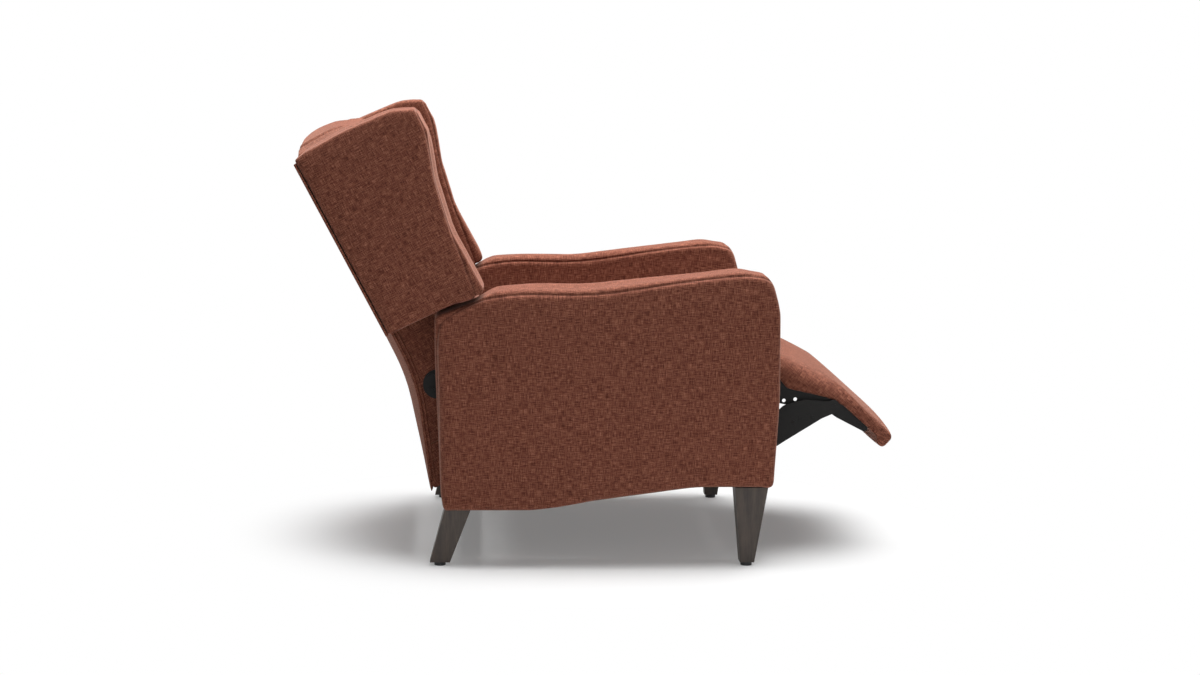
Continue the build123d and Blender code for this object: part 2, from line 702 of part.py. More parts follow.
FOOT_BRACKET = [
    (-12, -12, 11),
    (36, -36, 16),
    (44, -68, 14),
    (72, -78, 16),
    (100, -62, 14),
    (122, -32, 14),
    (150, -20, 20),
    (173, -15, 12),
    (196, -12, 12),
    (262, 5, 3),
    (262, BOARD_LOW, 2),
    (150, BOARD_LOW, 12),
    (126, 4, 12),
    (96, -5, 30),
    (60, -18, 20),
    (32, -20, 14),
    (10, 12, 9),
    (-12, 12, 11),
]
BRACKET_HOLES = ((88, -60), (104, -42))
HOLE_RADIUS = 4.0
FLANGE_W = (204.0, 262.0)
FLANGE_IN = 55.0
FOOT_SCREWS = (217.0, 249.0)
CRANK_HALF = 15.0
LINK_SHAPE = [
    (-16, -16, 14),
    (60, -12, 30),
    (150, -9, 30),
    (185, -13, 12),
    (198, -10, 11),
    (197, 13, 11),
    (180, 15, 10),
    (139, 44, 14),
    (94, 56, 20),
    (30, 40, 20),
    (-16, 18, 14),
]
TUBE_RADIUS = 12.5
TUBE_WALL = 2.0


def foot_slab(corners, y_low, y_high):
    """Slab drawn on the footrest's own axes."""
    return slab(seen_from(foot_point, corners), y_low, y_high)


def foot_bar(w, n, y):
    """Straight bar between two limits on each of the footrest's axes and along Y."""
    return foot_slab(plain((w[0], n[0]), (w[1], n[0]), (w[1], n[1]), (w[0], n[1])), *y)


def along_bar(start, end, corners, y_low, y_high):
    """Plate drawn on axes of its own: A from one pin to the other, B up across it."""
    length = math.hypot(end[0] - start[0], end[1] - start[1])
    way = ((end[0] - start[0]) / length, (end[1] - start[1]) / length)
    placed = [
        (start[0] + way[0] * a - way[1] * b, start[1] + way[1] * a + way[0] * b, radius)
        for a, b, radius in corners
    ]
    return slab(placed, y_low, y_high)


def linkage():
    """Cranks on the seat plates, and the push links with the tube that ties both sides."""
    seat_end = SEAT_PLATE_Y + PLATE + PIN_END
    crank_y = (CRANK_Y, CRANK_Y + PLATE)
    link_y = (LINK_Y, LINK_Y + PLATE)
    crank_pin = pin(CRANK_PIVOT, crank_y[0], seat_end, (crank_y[1], SEAT_PLATE_Y - END_PLAY))
    tip_pin = pin(CRANK_TIP, link_y[0], crank_y[1], (link_y[1] + END_PLAY, crank_y[0]))
    reach = math.hypot(*CRANK_REACH) + CRANK_HALF
    ends = [(-CRANK_HALF, -CRANK_HALF), (reach, -CRANK_HALF), (reach, CRANK_HALF), (-CRANK_HALF, CRANK_HALF)]
    round_ends = [(a, b, 0.9 * CRANK_HALF) for a, b in ends]
    crank = along_bar(CRANK_PIVOT, CRANK_TIP, round_ends, *crank_y)
    link = along_bar(CRANK_TIP, FOOT_JOINT, LINK_SHAPE, *link_y)
    holes = [rod(spot, PIN_RADIUS, LINK_Y - 1, LINK_Y + PLATE + 1) for spot in (CRANK_TIP, FOOT_JOINT)]
    tube = cut(
        rod(CRANK_TIP, TUBE_RADIUS, -LINK_Y, LINK_Y),
        rod(CRANK_TIP, TUBE_RADIUS - TUBE_WALL, -FAR, FAR),
    )
    return {
        **pair("footrest_crank", cut(crank, crank_pin, tip_pin)),
        "crank_pivot_pins": both(crank_pin),
        "crank_tip_pins": both(tip_pin),
        **pair("push_link", cut(link, *holes)),
        "link_tie_tube": tube,
    }


def footrest():
    """Brackets, board and pad that swing as one about the seat's front pivots."""
    bracket_y = (BRACKET_Y, BRACKET_Y + PLATE)
    seat_end = SEAT_PLATE_Y + PLATE + PIN_END
    pivot = pin(FOOT_PIVOT, bracket_y[0], seat_end, (bracket_y[1], SEAT_PLATE_Y - END_PLAY))
    joint = pin(FOOT_JOINT, bracket_y[0], LINK_Y + PLATE + 0.8, (bracket_y[1], LINK_Y - END_PLAY))
    flange_y = (bracket_y[0] - FLANGE_IN, bracket_y[0])
    bracket = foot_slab(FOOT_BRACKET, *bracket_y)
    for spot in BRACKET_HOLES:
        bracket = bracket - rod(foot_point(*spot), HOLE_RADIUS, bracket_y[0] - 1, bracket_y[1] + 1)
    bracket = bracket + foot_bar(FLANGE_W, (BOARD_LOW - PLATE, BOARD_LOW), flange_y)
    board = foot_bar(BOARD_W, (BOARD_LOW, BOARD_LOW + FOOT_BOARD), (-BOARD_HALF, BOARD_HALF))
    slope = (math.sin(math.radians(FOOT_SLOPE)), 0, math.cos(math.radians(FOOT_SLOPE)))
    screws = []
    for w in FOOT_SCREWS:
        x, z = foot_point(w, BOARD_LOW - PLATE - 2)
        head = Plane(origin=(x, flange_y[0] + FLANGE_IN / 3, z), z_dir=slope)
        shank = Solid.make_cylinder(SCREW_RADIUS, 2 + PLATE + FOOT_BOARD - 2, head)
        screws.append((shank + Solid.make_cylinder(SCREW_HEAD, 2, head)).solid())
    across = Vector(0, 1, 0)
    origin, down, out = axes_of(foot_point, (1, 0), (0, 1))
    pad = foot_slab(PAD_SHAPE, -FOOT_HALF, FOOT_HALF)
    face = Plane(origin, x_dir=across, z_dir=across.cross(out))
    pad = pad & arched(face, FOOT_HALF, -FAR, PAD_TOP - PAD_CROWN, PAD_CROWN)
    toe = Plane(origin, x_dir=across, z_dir=across.cross(down))
    pad = pad & arched(toe, FOOT_HALF, -FAR, PAD_TOE - TOE_BOW, TOE_BOW)
    tilt = math.radians(HEAD_TILT)
    edge = origin + down * HEAD_EDGE[0] + out * HEAD_EDGE[1]
    head = Plane(edge, x_dir=across, z_dir=across.cross(out * math.cos(tilt) - down * math.sin(tilt)))
    pad = pad & arched(head, FOOT_HALF, -FAR, 0, HEAD_CROWN, HEAD_ROLL)
    both_brackets = both(Compound([bracket, pivot, joint]))
    pad = cut(pad.solid(), board, *both_brackets.solids())
    both_screws = both(Compound(screws))
    return {
        **pair("footrest_bracket", cut(bracket, pivot, joint, *screws)),
        "footrest_pivot_pins": both(Compound([pivot, joint])),
        "footrest_board": cut(board, *both_screws.solids()),
        "footrest_pad": pad,
        "footrest_screws": both_screws,
    }


def least_gap(path, wire, samples=400, apart=24):
    """Least clear space between turns of one wire, leaving out neighbouring samples."""
    points = [path @ (index / samples) for index in range(samples + 1)]
    gaps = [(a - b).length for index, a in enumerate(points) for b in points[index + apart:]]
    return min(gaps) - 2 * wire


pieces = {**base(), **seat(), **back(), **linkage(), **footrest()}
box = Compound([solid for shape in pieces.values() for solid in shape.solids()]).bounding_box()
shift = Location((-(box.min.X + box.max.X) / 2, 0, 0))
os.makedirs("parts", exist_ok=True)
for name, shape in pieces.items():
    export_step(shape.moved(shift), f"parts/{name}.step")
print(f"{len(pieces)} nodes, box {box.size.X:.1f} x {box.size.Y:.1f} x {box.size.Z:.1f} mm")
print(f"moved along X by {shift.position.X:.3f} mm, lowest point {box.min.Z:.3f} mm")
print(f"least gap in a spring {least_gap(spring_path(0.0), SPRING_WIRE):.2f} mm")
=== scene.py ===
# %% [markdown]
# # A push-back wing recliner, dressed in woven cloth
# The chair's working frame was drawn as solids and packed. This lesson loads that frame and
# dresses it: cloth over foam, stained legs, black steel links. Each step says what the real
# piece is, how it could be made and why this way was chosen.

# %% Load the frame
import json
import math

import bmesh
import bpy
import numpy as np
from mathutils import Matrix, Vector


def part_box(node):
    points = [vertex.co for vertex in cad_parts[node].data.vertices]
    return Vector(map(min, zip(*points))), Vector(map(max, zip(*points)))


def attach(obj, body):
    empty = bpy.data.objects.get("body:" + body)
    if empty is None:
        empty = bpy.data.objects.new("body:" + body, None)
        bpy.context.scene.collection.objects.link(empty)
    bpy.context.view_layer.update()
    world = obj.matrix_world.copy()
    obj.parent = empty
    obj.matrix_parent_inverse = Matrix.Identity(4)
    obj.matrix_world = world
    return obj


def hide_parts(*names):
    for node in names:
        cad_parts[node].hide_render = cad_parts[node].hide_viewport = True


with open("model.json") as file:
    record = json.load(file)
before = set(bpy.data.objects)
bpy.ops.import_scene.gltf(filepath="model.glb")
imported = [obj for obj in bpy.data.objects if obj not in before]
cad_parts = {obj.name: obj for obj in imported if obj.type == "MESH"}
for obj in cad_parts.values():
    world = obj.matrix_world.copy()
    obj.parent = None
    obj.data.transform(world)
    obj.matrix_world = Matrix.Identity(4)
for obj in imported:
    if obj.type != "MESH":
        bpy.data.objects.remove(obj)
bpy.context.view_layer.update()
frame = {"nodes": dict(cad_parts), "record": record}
bpy.context.scene.view_settings.view_transform = "Standard"

# %% [markdown]
# ## Places on the chair
# The frame is drawn in three sets of axes: the floor, the tilted back and the sloping footrest.
# Three small helpers turn a place read on one of them, in millimetres, into metres in the scene.
# The finished frame was moved along X to centre its box, and the glides tell how far.

# %% Axes of the floor, the back and the footrest
METRE = 1000.0
GLIDES_MIDDLE = 4.0
BACK_TILT = math.radians(27.8)
BACK_ORIGIN = (-430.0, 495.0)
FOOT_SLOPE = math.radians(42.0)
FOOT_PIVOT = (385.0, 440.0)
glides_low, glides_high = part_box("leg_glides")
CENTRE_SHIFT = (glides_low[0] + glides_high[0]) / 2 * METRE - GLIDES_MIDDLE


def floor_spot(x, y, z):
    return Vector(((x + CENTRE_SHIFT) / METRE, y / METRE, z / METRE))


def back_spot(u, y, v):
    x = BACK_ORIGIN[0] - u * math.sin(BACK_TILT) + v * math.cos(BACK_TILT)
    z = BACK_ORIGIN[1] + u * math.cos(BACK_TILT) + v * math.sin(BACK_TILT)
    return floor_spot(x, y, z)


def foot_spot(w, y, n):
    x = FOOT_PIVOT[0] + w * math.cos(FOOT_SLOPE) + n * math.sin(FOOT_SLOPE)
    z = FOOT_PIVOT[1] - w * math.sin(FOOT_SLOPE) + n * math.cos(FOOT_SLOPE)
    return floor_spot(x, y, z)


print("foot of the wing:", back_spot(0, 0, 0), "footrest pivot:", foot_spot(0, 0, 0))

# %% [markdown]
# ## Camera
# The picture was taken from the chair's right side with a long lens, from above the arms and
# tipped down by eight degrees. The chair stands right of the middle. The camera could be turned
# toward it, but the lens is shifted instead, which keeps the view square to the chair's side.

# %% Camera at the photograph's angle
CAMERA_SPOT = (-254.0, -4603.8, 1082.6)
CAMERA_PITCH = math.radians(82)
SENSOR = 36.0
FOCAL_PIXELS = 2082
PICTURE_PIXELS = 1200
LENS_SHIFT = 0.108
bpy.ops.object.select_all(action="DESELECT")
bpy.ops.object.camera_add(location=floor_spot(*CAMERA_SPOT), rotation=(CAMERA_PITCH, 0, 0))
camera = bpy.context.object
camera.name = "camera"
camera.data.sensor_width = SENSOR
camera.data.lens = FOCAL_PIXELS / PICTURE_PIXELS * SENSOR
camera.data.shift_x = LENS_SHIFT
bpy.context.scene.camera = camera
print("lens:", round(camera.data.lens, 2), "mm")

# %% [markdown]
# ## Writing shaders as sums
# A finish is a chain of nodes. They could be placed and linked one by one, but then the pattern
# is hard to see. So a socket is wrapped in a small class that knows plus, minus and times, and a
# pattern can be written as a line of arithmetic.

# %% A socket that can be added and multiplied


class Tone:
    def __init__(self, wiring, socket):
        self.wiring = wiring
        self.socket = socket

    def _with(self, operation, first, second=0.0):
        return self.wiring.node("ShaderNodeMath", {"operation": operation}, {0: first, 1: second})

    def __add__(self, other):
        return self._with("ADD", self, other)

    def __sub__(self, other):
        return self._with("SUBTRACT", self, other)

    def __rsub__(self, other):
        return self._with("SUBTRACT", other, self)

    def __mul__(self, other):
        return self._with("MULTIPLY", self, other)

    __radd__ = __add__
    __rmul__ = __mul__

    def sine(self):
        return self._with("SINE", self)

    def size(self):
        return self._with("ABSOLUTE", self)

    def larger(self, other):
        return self._with("MAXIMUM", self, other)

    def between(self, low, high, start, end):
        values = {"Value": self, "From Min": low, "From Max": high, "To Min": start, "To Max": end}
        return self.wiring.node("ShaderNodeMapRange", {"interpolation_type": "SMOOTHSTEP"}, values)


# %% [markdown]
# ## Making nodes
# The floor, the room and every material need nodes. One method makes any of them: it takes the
# node's type, its settings, and the values or links of its sockets. A finish adds the few chains
# that come back in every material. A Mix node has sockets for each kind of value: 6 and 7 are its
# colours, and 2 is the colour that comes out. Colours are given as a screen shows them, 0 to 255,
# and turned into the linear light that shaders count in.

# %% A wiring that makes nodes


class Wiring:
    def __init__(self, tree):
        self.tree = tree

    def node(self, kind, settings=None, sockets=None, out=0):
        made = self.tree.nodes.new(kind)
        for key, value in (settings or {}).items():
            if key == "stops":
                ramp = made.color_ramp
                while len(ramp.elements) < len(value):
                    ramp.elements.new(0.5)
                for element, (place, colour) in zip(ramp.elements, value):
                    element.position = place
                    element.color = colour
            else:
                setattr(made, key, value)
        for key, value in (sockets or {}).items():
            if isinstance(value, Tone):
                self.tree.links.new(value.socket, made.inputs[key])
            else:
                made.inputs[key].default_value = value
        return Tone(self, made.outputs[out])


# %% A finish for a material


class Finish(Wiring):
    def __init__(self, name, **plain):
        self.material = bpy.data.materials.new(name)
        self.material.use_nodes = True
        super().__init__(self.material.node_tree)
        self.shader = self.tree.nodes["Principled BSDF"]
        for words, value in plain.items():
            socket = words.replace("_", " ").title().replace("Ior", "IOR")
            self.shader.inputs[socket].default_value = value

    def give(self, socket, tone):
        self.tree.links.new(tone.socket, self.shader.inputs[socket])

    def give_roughness(self, tone, middle, spread):
        self.give("Roughness", tone * spread + (middle - spread / 2))

    def bump(self, height, strength, distance, under=None):
        heights = {"Height": height, "Strength": strength, "Distance": distance}
        if under:
            heights["Normal"] = under
        return self.node("ShaderNodeBump", sockets=heights)

    def noise(self, vector, scale=1.0, detail=2.0, rough=0.5):
        values = {"Vector": vector, "Scale": scale, "Detail": detail, "Roughness": rough}
        return self.node("ShaderNodeTexNoise", sockets=values)

    def stretched(self, vector, scale):
        return self.node("ShaderNodeMapping", sockets={"Vector": vector, "Scale": scale})

    def ramp(self, tone, stops):
        return self.node("ShaderNodeValToRGB", {"stops": stops}, {"Fac": tone})

    def mixed(self, share, first, second):
        sockets = {0: share, 6: first, 7: second}
        return self.node("ShaderNodeMix", {"data_type": "RGBA"}, sockets, 2)


# %% Colours in linear light


def paint(red, green, blue):
    shown = (red / 255, green / 255, blue / 255)
    linear = [c / 12.92 if c <= 0.04045 else ((c + 0.055) / 1.055) ** 2.4 for c in shown]
    return (*linear, 1.0)


print("a mid grey in linear light:", paint(128, 128, 128))

# %% [markdown]
# ## Floor
# The chair stands on a plain pale floor with nothing behind it. A backdrop could be built, but a
# floor that turns to plain white paper away from the chair needs no edge to hide. It does so only
# as the camera and reflections see it, so it lights nothing and the chair keeps its shadow.

# %% What the camera and reflections see
SEEN_RAYS = ("Is Camera Ray", "Is Glossy Ray", "Is Transmission Ray")


def seen_directly(wiring):
    straight, mirrored, through = (wiring.node("ShaderNodeLightPath", out=ray) for ray in SEEN_RAYS)
    return straight.larger(mirrored).larger(through)


# %% White paper floor
FLOOR_SIZE = 60
PAPER_GLOW = 0.18
SHADOW_FADE = (0.36, 0.68)
SHADOW_STRETCH = (0.82, 1.0, 1.0)
bpy.ops.object.select_all(action="DESELECT")
bpy.ops.mesh.primitive_plane_add(size=FLOOR_SIZE, location=(0, 0, 0))
floor = bpy.context.object
floor.name = "floor"
paper = Finish("white_paper", base_color=paint(232, 232, 232), roughness=1.0, specular_ior_level=0.0)
reach = paper.stretched(paper.node("ShaderNodeTexCoord", out="Object"), SHADOW_STRETCH)
away = paper.node("ShaderNodeVectorMath", {"operation": "LENGTH"}, {0: reach}, "Value")
whiteness = away.between(*SHADOW_FADE, PAPER_GLOW, 1.0) * seen_directly(paper)
white = paper.node("ShaderNodeEmission", sockets={"Color": (1, 1, 1, 1), "Strength": 1.0})
shaded = Tone(paper, paper.shader.outputs[0])
blank = paper.node("ShaderNodeMixShader", sockets={0: whiteness, 1: shaded, 2: white})
paper.tree.links.new(blank.socket, paper.tree.nodes["Material Output"].inputs["Surface"])
floor.data.materials.append(paper.material)
print("floor:", FLOOR_SIZE, "m wide, white from", SHADOW_FADE[1], "m around the chair")

# %% [markdown]
# ## Lamps
# A wide soft lamp hangs above, so the tops of the arms are brightest and the shadow gathers under
# the seat, and a weaker lamp stands near the camera. The room is white where it is seen and dim
# where it lights, because an even light from all sides would wash out the folds.

# %% Room light
ROOM_LEVEL = 0.12
world = bpy.data.worlds.new("room")
world.use_nodes = True
bpy.context.scene.world = world
room = Wiring(world.node_tree)
sky = room.tree.nodes["Background"]
sky.inputs["Color"].default_value = (1, 1, 1, 1)
strength = seen_directly(room).between(0.0, 1.0, ROOM_LEVEL, 1.0)
room.tree.links.new(strength.socket, sky.inputs["Strength"])
print("room light:", ROOM_LEVEL)

# %% Two soft lamps


def soft_lamp(name, place, aim, size, power):
    bpy.ops.object.light_add(type="AREA", location=place)
    lamp = bpy.context.object
    lamp.name = name
    lamp.data.size = size
    lamp.data.energy = power
    lamp.rotation_euler = (Vector(aim) - Vector(place)).to_track_quat("-Z", "Y").to_euler()


soft_lamp("overhead", place=(0.15, 0.16, 2.7), aim=(0.05, 0.0, 0.4), size=2.6, power=204)
soft_lamp("by_the_camera", place=(-0.8, -4.2, 2.0), aim=(0.0, 0.0, 0.45), size=2.4, power=12.5)
print("lamps:", [lamp.name for lamp in bpy.data.lights])

# %% [markdown]
# ## The cloth
# The cover is a plain weave of slubby yarn: rust brown, with paler and darker threads that run
# a centimetre or two along the warp and the weft. A picture of cloth would be one way; here each
# yarn direction is a noise that is stretched along it, read from a UV map laid in metres, so
# the weave keeps its scale on every piece and stops at the seams as cut cloth does. The tone is
# a sum in which each weight says how much that part of the pattern counts.

# %% Woven cloth
WEAVE = "weave"
SEAM = "seam"
YARN = 0.0019
ACROSS_SLUBS = 640
ALONG_SLUBS = 64
BLOTCHES = 22
TONE_SPREAD = 0.13
SHEEN = paint(214, 170, 152)
# Painted shade along each seam: the distances where it fades, its strength and its darkness
SEAM_SHADE_FADE = (0.0003, 0.0021)
SEAM_SHADE_STRENGTH = 0.45
SEAM_SHADE_DARKNESS = 0.45
SEAM_GROOVE = 0.0045


def woven(name, dark, middle, light, laid_on=WEAVE):
    sheen = {"sheen_weight": 0.42, "sheen_roughness": 0.4, "sheen_tint": SHEEN}
    cloth = Finish(name, roughness=0.92, specular_ior_level=0.15, **sheen)
    if laid_on:
        laid = cloth.node("ShaderNodeUVMap", {"uv_map": laid_on})
    else:
        laid = cloth.node("ShaderNodeTexCoord", out="Object")
    warp = cloth.noise(cloth.stretched(laid, (ACROSS_SLUBS, ALONG_SLUBS, ALONG_SLUBS)), detail=0.8)
    weft = cloth.noise(cloth.stretched(laid, (ALONG_SLUBS, ACROSS_SLUBS, ACROSS_SLUBS)), detail=0.8)
    grain = cloth.noise(laid, ACROSS_SLUBS, detail=1.0)
    blotch = cloth.noise(laid, BLOTCHES)
    ways = [cloth.node("ShaderNodeSeparateXYZ", sockets={0: laid}, out=way) for way in "XY"]
    waves = [(way * (2 * math.pi / YARN)).sine() for way in ways]
    over_under = waves[0] * waves[1]
    tone = warp * 0.34 + weft * 0.38 + grain * 0.24 + blotch * 0.04 + over_under * 0.04
    yarn = cloth.ramp(tone, [(0.5 - TONE_SPREAD, dark), (0.5, middle), (0.5 + TONE_SPREAD, light)])
    sewn = (cloth.node("ShaderNodeAttribute", {"attribute_name": SEAM}, out="Fac") - 1.0).size()
    # Painted shade: along each seam the colour is mixed toward a darkened cloth tone, standing in for the
    # shade in the seam's valley
    line = sewn.between(*SEAM_SHADE_FADE, SEAM_SHADE_STRENGTH, 0.0)
    painted_seam_shade = (*(SEAM_SHADE_DARKNESS * part for part in dark[:3]), 1.0)
    cloth.give("Base Color", cloth.mixed(line, yarn, painted_seam_shade))
    groove = cloth.bump(sewn.between(0.0, SEAM_GROOVE, 0.0, 1.0), strength=0.7, distance=0.0025)
    threads = warp * 0.3 + weft * 0.3 + grain * 0.4 + over_under * 0.2
    cloth.give("Normal", cloth.bump(threads, strength=0.32, distance=0.0009, under=groove))
    return cloth.material


CLOTH = woven("rust_weave", dark=paint(67, 33, 23), middle=paint(104, 59, 45), light=paint(148, 95, 76))
print("cloth:", CLOTH.name)

# %% [markdown]
# ## Stained legs, plywood and metal
# The legs are stained a grey brown that nearly hides the grain. Inside, rails and cores are plain
# ply, coloured darker than bare ply as painted shade, so the slit in each back side cover shows
# dark. The links are black satin steel, small screws are zinc. One colour for each would be the
# quickest way, but a single flat colour is what gives a model away, so each finish varies in tone
# and in roughness.

# %% Wood
PORES = 6.0


def grained(name, dark, pale, stretch, rough):
    wood = Finish(name, roughness=rough)
    place = wood.stretched(wood.node("ShaderNodeTexCoord", out="Object"), stretch)
    streak = wood.noise(place, detail=4.0, rough=0.6)
    pores = wood.noise(place, PORES)
    wood.give("Base Color", wood.ramp(streak * 0.75 + pores * 0.25, [(0.35, dark), (0.72, pale)]))
    wood.give_roughness(streak, middle=rough, spread=0.16)
    wood.give("Normal", wood.bump(pores + streak * 0.5, strength=0.18, distance=0.0006))
    return wood.material


LEG_STAIN = grained("stained_leg", paint(43, 34, 29), paint(79, 67, 58), stretch=(60, 60, 7), rough=0.5)
# Painted shade: the ply is coloured darker than bare ply, so the slit in each back side cover shows dark
PLY_DARKENED_AS_SHADE = grained("ply_darkened_as_shade", paint(92, 66, 43), paint(130, 97, 66), stretch=(9, 70, 70), rough=0.75)
print("woods:", LEG_STAIN.name, PLY_DARKENED_AS_SHADE.name)

# %% Steel, plastic and webbing
CLOUDS = 14.0
SPECKS = 840.0


def brushed(name, dark, pale, metal, rough, gloss=0.5):
    steel = Finish(name, metallic=metal, roughness=rough, specular_ior_level=gloss)
    place = steel.node("ShaderNodeTexCoord", out="Object")
    cloudy = steel.noise(place, CLOUDS, detail=3.0)
    speck = steel.noise(place, SPECKS)
    steel.give("Base Color", steel.ramp(cloudy * 0.6 + speck * 0.4, [(0.3, dark), (0.7, pale)]))
    steel.give_roughness(cloudy, middle=rough, spread=0.24)
    steel.give("Normal", steel.bump(speck, strength=0.12, distance=0.0003))
    return steel.material


BLACK_STEEL = brushed(
    "black_satin_steel", paint(12, 12, 12), paint(34, 33, 32), metal=0.2, rough=0.5, gloss=0.22
)
ZINC = brushed("zinc_steel", paint(134, 136, 138), paint(182, 184, 186), metal=0.85, rough=0.42)
SPRING_STEEL = brushed("oiled_spring_wire", paint(52, 50, 48), paint(96, 94, 90), metal=0.8, rough=0.4)
NYLON = brushed("roller_nylon", paint(186, 184, 176), paint(214, 212, 204), metal=0.0, rough=0.45)
GLIDE = brushed("glide_plastic", paint(20, 20, 21), paint(38, 38, 39), metal=0.0, rough=0.6)
WEBBING = woven("webbing_strap", paint(60, 56, 50), paint(104, 97, 86), paint(150, 142, 128), laid_on=None)
print("finishes:", len(bpy.data.materials))

# %% [markdown]
# ## Stuffing a pad
# A padded piece is foam with cloth pulled over it. It could be carved by hand, but cloth that is
# blown up from inside finds the right crown by itself. So the piece's solid is copied, covered
# with an even net of faces, held along its seams, and puffed up by a short cloth simulation.
# What moved too far is drawn back, and one subdivision makes the net fine. It starts with the
# copy, whose loose triangles are merged, and with a helper that applies a modifier.

# %% Copy solids
MERGE_GAP = 0.00002


def bare_copy(name, nodes, filling=()):
    bpy.ops.object.select_all(action="DESELECT")
    copies = []
    for mesh in [*(frame["nodes"][node].data for node in nodes), *filling]:
        copy = bpy.data.objects.new(name, mesh.copy())
        bpy.context.collection.objects.link(copy)
        copy.data.materials.clear()
        copy.select_set(True)
        copies.append(copy)
    bpy.context.view_layer.objects.active = copies[0]
    if len(copies) > 1:
        bpy.ops.object.join()
    piece = bpy.context.object
    bpy.ops.object.mode_set(mode="EDIT")
    bpy.ops.mesh.select_all(action="SELECT")
    bpy.ops.mesh.remove_doubles(threshold=MERGE_GAP)
    bpy.ops.object.mode_set(mode="OBJECT")
    return piece


# %% Pick a piece and apply a modifier to it


def pick(piece):
    bpy.ops.object.select_all(action="DESELECT")
    piece.select_set(True)
    bpy.context.view_layer.objects.active = piece


def finish_modifier(piece, kind, **settings):
    modifier = piece.modifiers.new(kind.lower(), kind)
    for key, value in settings.items():
        setattr(modifier, key, value)
    pick(piece)
    bpy.ops.object.modifier_apply(modifier=modifier.name)


# %% [markdown]
# ## Points as arrays
# A net has tens of thousands of points. A Python loop over them is slow, so they are read into
# an array, moved all at once and written back. Moves that differ a lot between neighbours are
# evened out along the net's edges.

# %% Read and move points


def corners_of(piece):
    spots = np.empty(len(piece.data.vertices) * 3)
    piece.data.vertices.foreach_get("co", spots)
    return spots.reshape(-1, 3)


def normals_of(piece):
    ways = np.empty(len(piece.data.vertices) * 3, dtype=np.float32)
    piece.data.vertices.foreach_get("normal", ways)
    return ways.reshape(-1, 3).astype(float)


def move_to(piece, spots):
    piece.data.vertices.foreach_set("co", np.ascontiguousarray(spots).ravel())
    piece.data.update()


# %% Even out moves
EVEN_ROUNDS = 6


def evened(piece, moved):
    ends = np.empty(len(piece.data.edges) * 2, dtype=np.int32)
    piece.data.edges.foreach_get("vertices", ends)
    ends = ends.reshape(-1, 2)
    count = np.maximum(np.bincount(ends.ravel(), minlength=len(moved)), 1)[:, None]
    for _ in range(EVEN_ROUNDS):
        total = np.zeros_like(moved)
        np.add.at(total, ends[:, 0], moved[ends[:, 1]])
        np.add.at(total, ends[:, 1], moved[ends[:, 0]])
        moved = 0.5 * moved + 0.5 * total / count
    return moved


# %% [markdown]
# ## One skin, blown up
# A voxel remesh wraps hollows inside the foam too. They would swell on their own, so only the
# shell with the most points is kept. The simulation has no gravity and twenty steps of pressure,
# which is enough for foam that only has to look full.

# %% Keep the outer skin


def keep_outer_skin(piece):
    net = bmesh.new()
    net.from_mesh(piece.data)
    seen = set()
    shells = []
    for start in net.verts:
        if start.index in seen:
            continue
        seen.add(start.index)
        shell = []
        edge = [start]
        while edge:
            vertex = edge.pop()
            shell.append(vertex)
            for link in vertex.link_edges:
                other = link.other_vert(vertex)
                if other.index not in seen:
                    seen.add(other.index)
                    edge.append(other)
        shells.append(shell)
    shells.sort(key=len)
    for shell in shells[:-1]:
        bmesh.ops.delete(net, geom=shell, context="VERTS")
    net.to_mesh(piece.data)
    net.free()
    return len(shells) - 1


# %% Puff it up
SWELL_STEPS = 20
PRESSURE = 4.0


def puffed(piece, held):
    start = corners_of(piece)
    group = piece.vertex_groups.new(name="held")
    group.add([int(index) for index in np.nonzero(held(start))[0]], 1.0, "ADD")
    cloth = piece.modifiers.new("cloth", "CLOTH")
    cloth.settings.use_pressure = True
    cloth.settings.uniform_pressure_force = PRESSURE
    cloth.settings.effector_weights.gravity = 0.0
    cloth.settings.vertex_group_mass = "held"
    cloth.point_cache.frame_start = 1
    cloth.point_cache.frame_end = SWELL_STEPS
    for step in range(1, SWELL_STEPS + 1):
        bpy.context.scene.frame_set(step)
    bpy.ops.object.modifier_apply(modifier="cloth")
    bpy.context.scene.frame_set(1)
    piece.vertex_groups.clear()
    return start, corners_of(piece) - start


# %% Stuff a piece
SMOOTH_ROUNDS = (3, 2, 0)
TINY = 1e-9


def stuff(name, nodes, net, cap, held, inset=0.0, filling=()):
    form = bare_copy(name + "_form", nodes, filling)
    piece = bare_copy(name, nodes, filling)
    piece.data.remesh_voxel_size = net
    bpy.ops.object.voxel_remesh()
    dropped = keep_outer_skin(piece)
    for rounds in SMOOTH_ROUNDS:
        finish_modifier(piece, "SHRINKWRAP", target=form, wrap_method="NEAREST_SURFACEPOINT")
        if rounds:
            finish_modifier(piece, "SMOOTH", factor=0.5, iterations=rounds)
    bpy.data.objects.remove(form)
    move_to(piece, corners_of(piece) - normals_of(piece) * inset)
    start, moved = puffed(piece, held)
    far = np.linalg.norm(moved, axis=1, keepdims=True)
    moved = moved * (cap * np.tanh(far / cap) / np.maximum(far, TINY))
    move_to(piece, start + evened(piece, moved))
    print(name, "swelled by", round(float(far.max()) * METRE, 1), "mm at most before the cap")
    finish_modifier(piece, "SUBSURF", levels=1, render_levels=1)
    print(name, "faces:", len(piece.data.polygons), "inner shells dropped:", dropped)
    return piece


# %% [markdown]
# ## Seams
# A sewn seam is a thin valley where two pieces of cloth turn inward, with a low roll beside it.
# It is narrower than the net of the simulation, so it is pressed in afterwards, by moving the
# points near the seam line inward. The line is an outline seen from the side, with its corners
# cut three times to round them, and each point needs only its distance to that outline. Outlines
# are in millimetres, as drawn, and distances in metres. The shader of the cloth reads them too,
# with 1 added, so that a piece without seams, which reads as 0, counts as a metre away, and it
# paints the shade of each seam's valley into the colour as a dark line.

# %% Distance to an outline
CORNER_CUTS = 3


